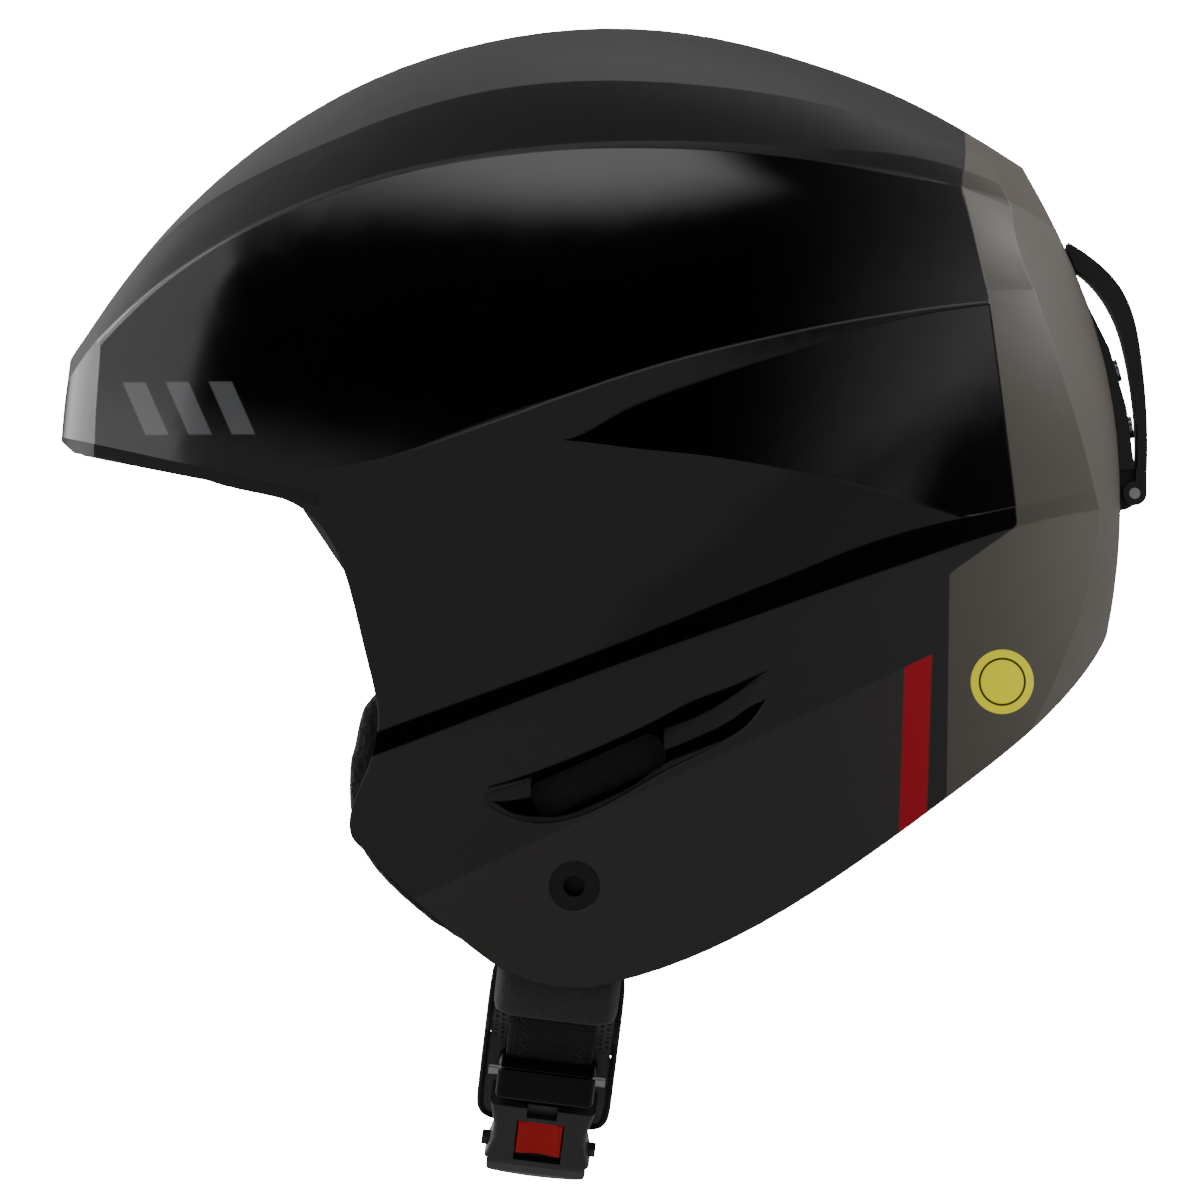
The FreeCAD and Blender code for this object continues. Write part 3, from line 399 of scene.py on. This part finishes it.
MATERIALS = {
    "paint": shell_paint(),
    "foam": bead_foam(),
    "webbing": woven("polyester_webbing_woven"),
    "duct": moulded("polypropylene_moulded", "060606", 0.5),
    "housing": moulded("acetal_moulded_fine_grain", "1f1f20", 0.36, 0.6, 0.02),
    "collar": moulded("abs_moulded_polished", "030303", 0.13, 0.9, 0.006, spread=0.03),
    "button": moulded("red_acetal_moulded", "b80009", 0.3, 0.7, 0.008),
    "clip": moulded("nylon_moulded_satin", "131314", 0.36, 0.7, 0.02),
    "slip": moulded("polycarbonate_sheet_formed", "161617", 0.45, 2.0, 0.02),
    "rubber": moulded("silicone_moulded", "1a1a1a", 0.6),
    "steel": plated("zinc_plated_steel", "b9bcc0", 0.32),
    "insert": plated("blackened_steel_turned", "39393a", 0.42),
    "comfort": knitted("brushed_polyester_knit", "17181a", "303236", 0.9, 0.25),
    "ear": knitted("open_mesh_knit", "070708", "1b1b1d", 1.6, 0.5, sheen=0.1),
    "air_mesh": air_mesh("neoprene_pad_with_spacer_mesh"),
    "flap": knitted("brushed_neoprene_smooth", "2c2c2f", "404044", 0.8, 0.08, sheen=0.25),
    "binding": knitted("woven_binding_tape", "0d0d0e", "1e1e20", 0.7, 0.15, sheen=0.1),
}
FINISHED_NODES = {
    "paint": ("outer_shell",),
    "foam": ("eps_liner", "cheek_foam_left", "cheek_foam_right"),
    "duct": ("vent_duct_left", "vent_duct_right"),
    "insert": ("guard_insert_left", "guard_insert_right"),
    "steel": ("strap_rivet_left", "strap_rivet_right", "strap_eye_left", "strap_eye_right",
              "ladder_bar", "button_spring", "clip_pin", "clip_screw_upper", "clip_screw_lower"),
    "slip": ("slip_liner",),
    "rubber": ("elastomer_front", "elastomer_back", "elastomer_left", "elastomer_right"),
    "housing": ("buckle_housing", "buckle_tongue"),
    "collar": ("buckle_collar",),
    "button": ("release_button",),
    "clip": ("clip_base", "clip_arm"),
}
for gloss in ("button", "collar"):
    MATERIALS[gloss].node_tree.nodes["Principled BSDF"].inputs["Specular IOR Level"].default_value = 0.2
for finish, nodes in FINISHED_NODES.items():
    for node in nodes:
        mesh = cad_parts[node].data
        mesh.materials.clear()
        mesh.materials.append(MATERIALS[finish])


# ---------------------------------------------------------------- piece makers
def finished(name, bm, finish, body, smooth=True):
    """Turns a bmesh into a piece that rides on a body."""
    bmesh.ops.recalc_face_normals(bm, faces=bm.faces[:])
    mesh = bpy.data.meshes.new(name)
    bm.to_mesh(mesh)
    bm.free()
    for face in mesh.polygons:
        face.use_smooth = smooth
    piece = bpy.data.objects.new(name, mesh)
    bpy.context.scene.collection.objects.link(piece)
    mesh.materials.append(MATERIALS[finish])
    if body:
        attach(piece, body)
    return piece


def modifier(piece, kind, **settings):
    item = piece.modifiers.new(kind.lower(), kind)
    for key, value in settings.items():
        setattr(item, key, value)
    return item


def pillow(columns, rows, place, front, back, squareness):
    """Two-sided panel: a grid with rounded corners and depth on both sides, laid by place(u, v, depth)."""
    bm = bmesh.new()
    bmesh.ops.create_grid(bm, x_segments=columns, y_segments=rows, size=1)
    lower = bm.verts[:]
    made = bmesh.ops.extrude_face_region(bm, geom=bm.faces[:])
    upper = [item for item in made["geom"] if isinstance(item, bmesh.types.BMVert)]
    for verts, depth in ((lower, back), (upper, front)):
        for vert in verts:
            u, v = vert.co.x, vert.co.y
            far = max(abs(u), abs(v))
            if far and squareness:
                pull = (abs(u / far) ** squareness + abs(v / far) ** squareness) ** (-1 / squareness)
                u, v = u * pull, v * pull
            vert.co = place(u, v, depth(u, v))
    return bm


def settle(piece, voxel_mm, pressure, cap_mm):
    """Cloth pass: the cover swells against its seams, no point moving more than the cap."""
    scene = bpy.context.scene
    modifier(piece, "REMESH", mode="VOXEL", voxel_size=voxel_mm * MM, use_smooth_shade=True)
    bpy.context.view_layer.objects.active = piece
    for other in bpy.context.selected_objects:
        other.select_set(False)
    piece.select_set(True)
    bpy.ops.object.modifier_apply(modifier="remesh")
    before = [v.co.copy() for v in piece.data.vertices]
    cloth = modifier(piece, "CLOTH")
    cloth.settings.use_pressure = True
    cloth.settings.uniform_pressure_force = pressure
    cloth.settings.effector_weights.gravity = 0
    cloth.settings.tension_stiffness = 25
    cloth.settings.compression_stiffness = 25
    for number in range(1, 16):
        scene.frame_set(number)
    bpy.ops.object.modifier_apply(modifier="cloth")
    scene.frame_set(1)
    for vert, old in zip(piece.data.vertices, before):
        step = vert.co - old
        if step.length > cap_mm * MM:
            vert.co = old + step.normalized() * cap_mm * MM
    modifier(piece, "SUBSURF", levels=1, render_levels=1)


# ---------------------------------------------------------------- chin strap on its leaning frame
LEAN = Matrix.Translation((2.76 * MM, 0, 0)) @ Matrix.Rotation(math.radians(7), 4, "Y")
BEND = 58
DROP = 85.5
SIDE = 88
FLAT = 2 * (SIDE - BEND)
QUARTER = BEND * math.pi / 2
WHOLE = 2 * QUARTER + FLAT


def loop_at(length, out):
    """Point on the strap loop, in mm from the left upright's foot, and out mm outside its middle."""
    if length < 0:
        return 0, -SIDE - out, -DROP - length
    if length <= QUARTER:
        a = length / BEND
        return 0, -(SIDE - BEND) - (BEND + out) * math.cos(a), -DROP - (BEND + out) * math.sin(a)
    if length <= QUARTER + FLAT:
        return 0, -(SIDE - BEND) + (length - QUARTER), -DROP - BEND - out
    _, y, z = loop_at(WHOLE - length, out)
    return 0, -y, z


def on_strap(width, begin, end):
    def place(u, v, depth):
        _, y, z = loop_at(begin + (end - begin) * (v + 1) / 2, depth)
        return LEAN @ (Vector((u * width / 2, y, z)) * MM)
    return place


def strap_uv(piece):
    """UV in metres: across the strap, and along it."""
    mesh = piece.data
    layer = mesh.uv_layers.new(name="strap")
    back = LEAN.inverted()
    for corner in mesh.loops:
        spot = back @ mesh.vertices[corner.vertex_index].co / MM
        side = -1 if spot.y < 0 else 1
        run = spot.z + DROP
        if abs(spot.y) < SIDE - BEND:
            length = QUARTER + FLAT / 2 + spot.y
        else:
            reach = abs(spot.y) - (SIDE - BEND)
            length = math.atan2(-run, reach) * BEND if run < 0 else -run
            length = length if side < 0 else WHOLE - length
        layer.data[corner.index].uv = (spot.x * MM, length * MM)


def webbing(name, begin, end, body):
    rows = max(6, int((end - begin) / 2.2))
    bm = pillow(10, rows, on_strap(22.8, begin, end), lambda u, v: 0.85 - 0.35 * abs(u) ** 8,
                lambda u, v: -0.85 + 0.35 * abs(u) ** 8, 0)
    piece = finished(name, bm, "webbing", body)
    strap_uv(piece)
    modifier(piece, "BEVEL", width=0.0004, segments=2, limit_method="ANGLE")
    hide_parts(name)
    return piece


webbing("webbing_left", -15.5, 27.7, "strap")
webbing("webbing_right", WHOLE - 6.1, WHOLE + 15.5, "strap")
chin_web = webbing("webbing_chin", 75.2, WHOLE - 6.1, None)
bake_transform(chin_web)


PAD_FROM, PAD_TO = -3, 57.5


def behind_buckle(v):
    """0 on the thick upper part of the pad, 1 where it is thin behind the buckle."""
    share = min(max((PAD_FROM + (PAD_TO - PAD_FROM) * (v + 1) / 2 - 17) / 4.5, 0), 1)
    return share * share * (3 - 2 * share)


def pad_front(v):
    return -1.15 - 4.15 * behind_buckle(v)


def strap_pad():
    """Foam pad behind the webbing; it thins to pass behind the buckle."""
    puff = lambda u, v: (1 - abs(u) ** 6) ** 0.5 * (1 - abs(v) ** 6) ** 0.5
    bm = pillow(28, 48, on_strap(36, PAD_FROM, PAD_TO), lambda u, v: pad_front(v) - 0.9 * (1 - puff(u, v)),
                lambda u, v: pad_front(v) - 1.3 - (3.9 - 3.0 * behind_buckle(v)) * puff(u, v), 9)
    piece = finished("strap_pad_left_cushion", bm, "air_mesh", "strap")
    settle(piece, 1.6, 1.0, 0.5)
    strap_uv(piece)
    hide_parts("strap_pad_left")
    return piece


strap_pad()


def pad_cover():
    puff = lambda u, v: (1 - abs(u) ** 8) ** 0.5
    bm = pillow(22, 14, on_strap(33, -8, 15), lambda u, v: 1.1 + 1.5 * puff(u, v) - 1.6 * abs(u) ** 10,
                lambda u, v: -1.0 - 0.2 * puff(u, v) if abs(u) > 0.74 else 1.0, 9)
    piece = finished("pad_cover_left_flap", bm, "flap", "strap")
    modifier(piece, "SUBSURF", levels=1, render_levels=1)
    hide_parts("pad_cover_left")
    return piece


pad_cover()


def piping(name, corners, place, radius_mm, finish, body, count=72):
    """Thin bound cord along a closed line on a panel."""
    bm = bmesh.new()
    ring = bmesh.ops.create_circle(bm, segments=count, radius=1)["verts"]
    for vert in ring:
        a = math.atan2(vert.co.y, vert.co.x)
        u, v = math.cos(a), math.sin(a)
        far = max(abs(u), abs(v))
        u, v = u / far, v / far
        pull = (abs(u) ** corners + abs(v) ** corners) ** (-1 / corners)
        vert.co = place(u * pull, v * pull)
    piece = finished(name, bm, finish, body)
    modifier(piece, "SKIN")
    for item in piece.data.skin_vertices[0].data:
        item.radius = (radius_mm * MM, radius_mm * MM)
    modifier(piece, "SUBSURF", levels=1, render_levels=1)
    return piece


edge_place = on_strap(34.0, PAD_FROM + 1, PAD_TO - 1)
piping("strap_pad_binding", 9, lambda u, v: edge_place(u, v, pad_front(v) - 0.5), 0.9, "binding", "strap")


# ---------------------------------------------------------------- ear pads
EAR = [(-52, -10), (-60, -16), (-64, -28), (-65, -44), (-60.5, -58), (-50, -69.5), (-34, -80.5), (-16, -87),
       (6, -86), (30, -76), (50, -60), (62, -40), (62, -20), (52, -10), (38, -2), (18, 4), (-18, 4),
       (-38, -2)]
EAR_HOLE = [(-26, -20), (10, -14), (28, -30), (12, -50), (-20, -52), (-34, -36)]


def closed_curve(points, share):
    """Point at a share of the way round a smooth closed line."""
    count = len(points)
    spot = (share % 1) * count
    i = int(spot)
    r = spot - i
    p = [Vector(points[(i + k) % count]) for k in (-1, 0, 1, 2)]
    return 0.5 * (2 * p[1] + (p[2] - p[0]) * r + (2 * p[0] - 5 * p[1] + 4 * p[2] - p[3]) * r ** 2
                  + (3 * p[1] - p[0] - 3 * p[2] + p[3]) * r ** 3)


def ear_pad(side, hand):
    bm = bmesh.new()
    count, round_steps = 72, 14
    ring = bmesh.ops.create_circle(bm, segments=count, radius=1)["verts"]
    rings = [ring]
    edges = bm.edges[:]
    for _ in range(round_steps - 1):
        made = bmesh.ops.extrude_edge_only(bm, edges=edges)["geom"]
        edges = [e for e in made if isinstance(e, bmesh.types.BMEdge) and len(e.link_faces) == 1]
        linked = {v for e in edges for v in e.verts}
        order = {tuple(round(c, 5) for c in v.co): v for v in linked}
        rings.append([order[tuple(round(c, 5) for c in v.co)] for v in ring])
    bmesh.ops.bridge_loops(bm, edges=[e for e in bm.edges if len(e.link_faces) == 1])
    for k, loop in enumerate(rings):
        a = 2 * math.pi * k / round_steps
        across = 0.5 - 0.5 * math.copysign(abs(math.cos(a)) ** 0.6, math.cos(a))
        painted_shade = math.copysign(abs(math.sin(a)) ** 0.55, math.sin(a)) * 5.0
        for n, vert in enumerate(loop):
            share = n / count
            outer = closed_curve(EAR, share)
            inner = closed_curve(EAR_HOLE, share + 0.04)
            spot = outer.lerp(inner, across)
            vert.co = Vector((spot.x, side * (75.3 - painted_shade), spot.y)) * MM
    piece = finished(f"ear_pad_{hand}_cushion", bm, "ear", "helmet")
    settle(piece, 3.5, 3, 2.0)
    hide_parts(f"ear_pad_{hand}")


for side, hand in ((-1, "left"), (1, "right")):
    ear_pad(side, hand)


# ---------------------------------------------------------------- comfort pads inside the head layer
LONG, WIDE, TALL = 113 - 3.2, 89 - 3.2, 137 - 3.2


def on_dome(turn0, turn1, height0, height1):
    """Lays a panel on the inside of the head layer between two headings and two heights (mm)."""
    def place(u, v, depth):
        turn = math.radians(turn0 + (turn1 - turn0) * (u + 1) / 2)
        z = height0 + (height1 - height0) * (v + 1) / 2
        less = depth
        c = TALL - less
        level = math.sqrt(max(0.0, 1 - (z / c) ** 2))
        x = (LONG - less) * level * math.cos(turn)
        y = (WIDE - less) * level * math.sin(turn)
        return Vector((x, y, z)) * MM
    return place


def quilted(name, place, columns, rows, channels, thick=6.6):
    """Comfort pad: flat on the layer, puffed towards the head, sewn down along channels."""
    def front(u, v):
        puff = (1 - abs(u) ** 5) ** 0.5 * (1 - abs(v) ** 5) ** 0.5
        sewn = min([1.0] + [abs(u - c) / 0.07 for c in channels])
        return 0.5 + (thick - 0.5) * puff * (0.45 + 0.55 * min(1, sewn) ** 0.5)
    bm = pillow(columns, rows, place, front, lambda u, v: 0.2, 7)
    piece = finished(f"{name}_cushion", bm, "comfort", "inner_layer")
    modifier(piece, "SUBSURF", levels=1, render_levels=1)
    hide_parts(name)


quilted("brow_pad", on_dome(180 - 38, 180 + 38, 60, 79), 48, 14, (-0.5, 0, 0.5))
quilted("rear_pad", on_dome(-42, 42, 27, 70), 44, 22, (-0.45, 0.45))
for hand, middle in (("left", -90), ("right", 90)):
    quilted(f"side_pad_{hand}", on_dome(middle - 30, middle + 30, 28, 84), 30, 26, (-0.33, 0.33))


def crown_place(u, v, depth):
    x, y = u * 50, v * 19
    level = 1 - (x / (LONG - depth)) ** 2 - (y / (WIDE - depth)) ** 2
    return Vector((x, y, (TALL - depth) * math.sqrt(level))) * MM


quilted("crown_pad", crown_place, 36, 16, (-0.4, 0.4))

# ---------------------------------------------------------------- stage, light, camera
def stage():
    """White paper sweep: a floor that curves up into a wall behind, glowing softly."""
    bm = bmesh.new()
    profile = [bm.verts.new((0, -9, -0.1475)), bm.verts.new((0, 7.0, -0.1475))]
    bm.edges.new(profile)
    bend = bmesh.ops.spin(bm, geom=[profile[1]], cent=(0, 7.0, 1.35), axis=(1, 0, 0), angle=math.pi / 2,
                          steps=12, use_duplicate=False)["geom_last"]
    ends = [v for v in bend if isinstance(v, bmesh.types.BMVert)]
    top = bmesh.ops.extrude_vert_indiv(bm, verts=ends)["verts"]
    bmesh.ops.translate(bm, verts=top, vec=(0, 0, 9))
    made = bmesh.ops.extrude_edge_only(bm, edges=bm.edges[:])["geom"]
    bmesh.ops.translate(bm, verts=bm.verts[:], vec=(-16, 0, 0))
    bmesh.ops.translate(bm, verts=[v for v in made if isinstance(v, bmesh.types.BMVert)], vec=(32, 0, 0))
    bmesh.ops.recalc_face_normals(bm, faces=bm.faces[:])
    mesh = bpy.data.meshes.new("studio_sweep")
    bm.to_mesh(mesh)
    bm.free()
    for face in mesh.polygons:
        face.use_smooth = True
    sweep = bpy.data.objects.new("studio_sweep", mesh)
    bpy.context.scene.collection.objects.link(sweep)
    material, tree, shader, place = start("matte_white_paper")
    seen = add(tree, "LightPath").outputs["Is Camera Ray"]
    tone = add(tree, "TexNoise", {"Vector": place, "Scale": 3.0}).outputs[0]
    paper = mix(tree, tone, srgb("f4f4f4"), srgb("f8f8f8"))
    tree.links.new(mix(tree, seen, srgb("303030"), paper), shader.inputs["Base Color"])
    # The wall glows more on the side ahead of the brow than behind the helmet.
    spot = add(tree, "SeparateXYZ", {0: place}).outputs
    ahead = add(tree, "MapRange", {0: spot[0], 1: -1.7, 2: -3.0}).outputs[0]
    far = add(tree, "MapRange", {0: spot[1], 1: 1.0, 2: 2.5}).outputs[0]
    aside = maths(tree, "ABSOLUTE", spot[0])
    middle = add(tree, "MapRange", {0: aside, 1: 1.5, 2: 3.0, 3: -0.2, 4: 0.0}).outputs[0]
    glow = maths(tree, "MULTIPLY_ADD", ahead, 1.0, middle)
    glow = maths(tree, "ADD", both(tree, glow, far), 0.3)
    tree.links.new(blend_number(tree, seen, glow, 22.0), shader.inputs["Emission Strength"])
    shader.inputs["Roughness"].default_value = 0.9
    shader.inputs["Emission Color"].default_value = (1, 1, 1, 1)
    mesh.materials.append(material)


stage()


def lamp(name, heading, lift, away, wide, tall, watts):
    """Softbox facing the helmet; heading is from the left side (-Y) towards the back (+X), in degrees."""
    data = bpy.data.lights.new(name, "AREA")
    data.shape = "RECTANGLE"
    data.size = wide
    data.size_y = tall
    data.energy = watts
    light = bpy.data.objects.new(name, data)
    bpy.context.scene.collection.objects.link(light)
    a, b = math.radians(heading), math.radians(lift)
    spot = Vector((math.sin(a) * math.cos(b), -math.cos(a) * math.cos(b), math.sin(b))) * away
    light.location = spot
    light.rotation_euler = (-spot).to_track_quat("-Z", "Y").to_euler()


lamp("front_softbox", -114, 18, 2.0, 0.85, 2.2, 40)
lamp("brow_side_softbox", -78, 18, 2.0, 1.5, 2.2, 15)
lamp("back_softbox", 100, 30, 2.0, 0.8, 1.2, 24)
lamp("far_overhead_softbox", 160, 62, 2.0, 1.6, 1.0, 14)


def soft(tree, value, low, high, most):
    """Smooth rise from nothing at low to most at high."""
    sockets = {0: value, 1: low, 2: high, 3: 0.0, 4: most}
    return add(tree, "MapRange", sockets, interpolation_type="SMOOTHSTEP").outputs[0]


def studio_world():
    """Grey card low around the room, black above it, a soft window overhead and a glow towards the rear."""
    world = bpy.data.worlds.new("studio")
    bpy.context.scene.world = world
    world.use_nodes = True
    tree = world.node_tree
    tree.nodes.clear()
    way = add(tree, "TexCoord").outputs["Generated"]
    parts = add(tree, "SeparateXYZ", {0: way}).outputs
    up = parts[2]
    along = parts[0]
    card = add(tree, "MapRange", {0: up, 1: 0.22, 2: 0.3, 3: 0.46, 4: 0.015}).outputs[0]
    card_end = add(tree, "MapRange", {0: along, 1: 0.84, 2: 0.92, 3: 1.0, 4: 0.1}).outputs[0]
    tilted = maths(tree, "MULTIPLY_ADD", along, -0.42, up)
    overhead = soft(tree, tilted, 0.815, 0.905, 2.8)
    overhead = maths(tree, "MULTIPLY", overhead, soft(tree, parts[1], -0.28, -0.42, 1.0))
    side_glow = maths(tree, "MULTIPLY", maths(tree, "POWER", maths(tree, "MAXIMUM", along, 0.0), 2.0), 1.1)
    side_glow = maths(tree, "MULTIPLY", side_glow, soft(tree, up, 0.2, 0.42, 1.0))
    strength = maths(tree, "MULTIPLY", card, card_end)
    for light in (overhead, side_glow):
        strength = maths(tree, "ADD", strength, light)
    strength = blend_number(tree, add(tree, "LightPath").outputs["Is Camera Ray"], strength, 1.1)
    ground = add(tree, "Background", {"Color": (1, 1, 1, 1), "Strength": strength})
    add(tree, "OutputWorld", {"Surface": ground.outputs[0]})


studio_world()

eye = bpy.data.cameras.new("camera")
eye.sensor_width = 36
DISTANCE = 3.6
eye.lens = 36 * DISTANCE / 0.324
eye.clip_end = 60
camera = bpy.data.objects.new("camera", eye)
bpy.context.scene.collection.objects.link(camera)
camera.location = (0.0027, -DISTANCE, 0.0108)
camera.rotation_euler = (math.radians(90), 0, 0)
bpy.context.scene.camera = camera
